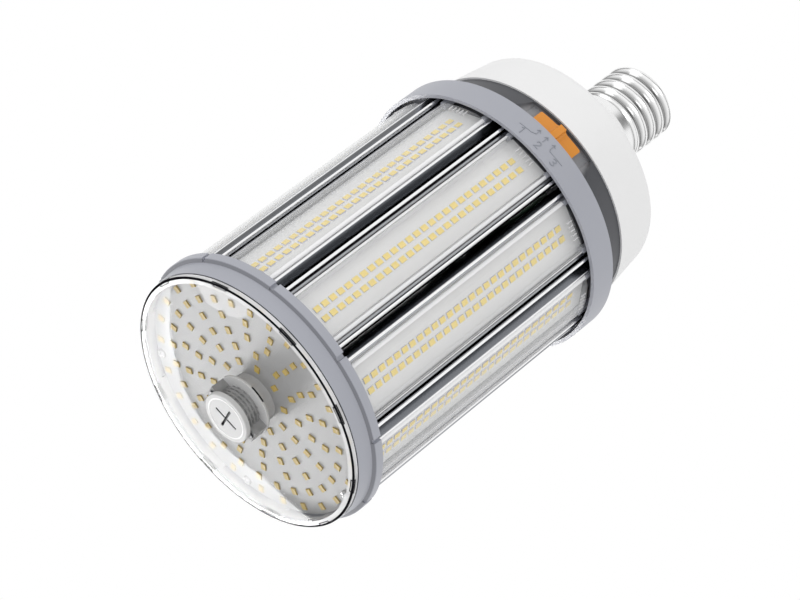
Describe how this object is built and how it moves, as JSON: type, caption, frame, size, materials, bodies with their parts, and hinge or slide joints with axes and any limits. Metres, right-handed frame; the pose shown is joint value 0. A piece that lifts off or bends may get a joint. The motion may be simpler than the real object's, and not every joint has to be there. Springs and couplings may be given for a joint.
{
  "type": "corn lamp",
  "caption": "Large screw-base corn lamp: a ring of bowed clear-covered light slats between a round clear front with a sensor port and a collar with a power slider.",
  "frame": {"origin": "the middle of the centre contact's lower face, at the bottom of the screw base", "axes": "+Z along the lamp's axis from the screw base to the round front lens; -Y from the axis towards the power slider"},
  "size_m": [0.1366, 0.1366, 0.299],
  "materials": {
    "contact_metal": "satin",
    "insulator": "gloss",
    "shell_metal": "polished nickel",
    "white_plastic": "fine satin",
    "dark_plastic": "satin",
    "grey_plastic": "satin",
    "orange_plastic": "satin",
    "black_plastic": "satin",
    "knob_plastic": "satin",
    "circuit_board": "satin",
    "ferrite": "matte",
    "capacitor_sleeve": "gloss",
    "screw_steel": "zinc plated",
    "light_board": "white coated, satin",
    "strip_board": "white coated, satin",
    "light_chips": "satin",
    "clear_plastic": "clear, gloss",
    "port_plastic": "translucent, gloss",
    "seal_rubber": "matte",
    "slat_metal": "bright extruded"
  },
  "bodies": {
    "lamp": {"contact_tip": "contact_metal", "base_insulator": "insulator", "screw_shell": "shell_metal", "base_housing": "white_plastic", "switch_band": "dark_plastic", "slide_switch": "black_plastic", "driver_board": "circuit_board", "driver_transformer": "ferrite", "driver_capacitors": "capacitor_sleeve", "driver_choke": "ferrite", "driver_parts": "black_plastic", "collar": "grey_plastic", "slat_screws": "screw_steel", "front_frame": "grey_plastic", "front_board": "light_board", "front_chips": "light_chips", "board_screws": "screw_steel", "front_lens": "clear_plastic", "port_base": "port_plastic", "port_screws": "screw_steel", "port_socket": "black_plastic", "heat_sink_01": "slat_metal", "heat_sink_02": "slat_metal", "heat_sink_03": "slat_metal", "heat_sink_04": "slat_metal", "heat_sink_05": "slat_metal", "heat_sink_06": "slat_metal", "heat_sink_07": "slat_metal", "heat_sink_08": "slat_metal", "heat_sink_09": "slat_metal", "heat_sink_10": "slat_metal", "light_strip_01": "strip_board", "light_strip_02": "strip_board", "light_strip_03": "strip_board", "light_strip_04": "strip_board", "light_strip_05": "strip_board", "light_strip_06": "strip_board", "light_strip_07": "strip_board", "light_strip_08": "strip_board", "light_strip_09": "strip_board", "light_strip_10": "strip_board", "slat_cover_01": "clear_plastic", "slat_cover_02": "clear_plastic", "slat_cover_03": "clear_plastic", "slat_cover_04": "clear_plastic", "slat_cover_05": "clear_plastic", "slat_cover_06": "clear_plastic", "slat_cover_07": "clear_plastic", "slat_cover_08": "clear_plastic", "slat_cover_09": "clear_plastic", "slat_cover_10": "clear_plastic"},
    "slider": {"power_slider": "orange_plastic"},
    "knob": {"switch_knob": "knob_plastic"},
    "seal": {"port_seal": "seal_rubber"},
    "cap": {"port_cap": "white_plastic"}
  },
  "joints": [
    {"name": "power_step", "type": "hinge", "parent": "lamp", "child": "slider", "pos_m": [0, 0, 0.1092], "axis": [0, 0, 1], "range_deg": [-3.86, 3.86]},
    {"name": "knob_slide", "type": "slide", "parent": "lamp", "child": "knob", "axis": [1, 0, 0], "range_m": [-0.0037, 0.0037]},
    {"name": "cap_lift", "type": "slide", "parent": "lamp", "child": "seal", "axis": [0, 0, 1], "range_m": [0, 0.012]},
    {"name": "cap_turn", "type": "hinge", "parent": "seal", "child": "cap", "pos_m": [0, 0, 0.298], "axis": [0, 0, 1], "range_deg": [0, 1441]}
  ],
  "couplings": [
    {"joint": "knob_slide", "follows": "power_step", "m_per_rad": 0.05365},
    {"joint": "cap_turn", "follows": "cap_lift", "rad_per_m": 2094.4}
  ]
}
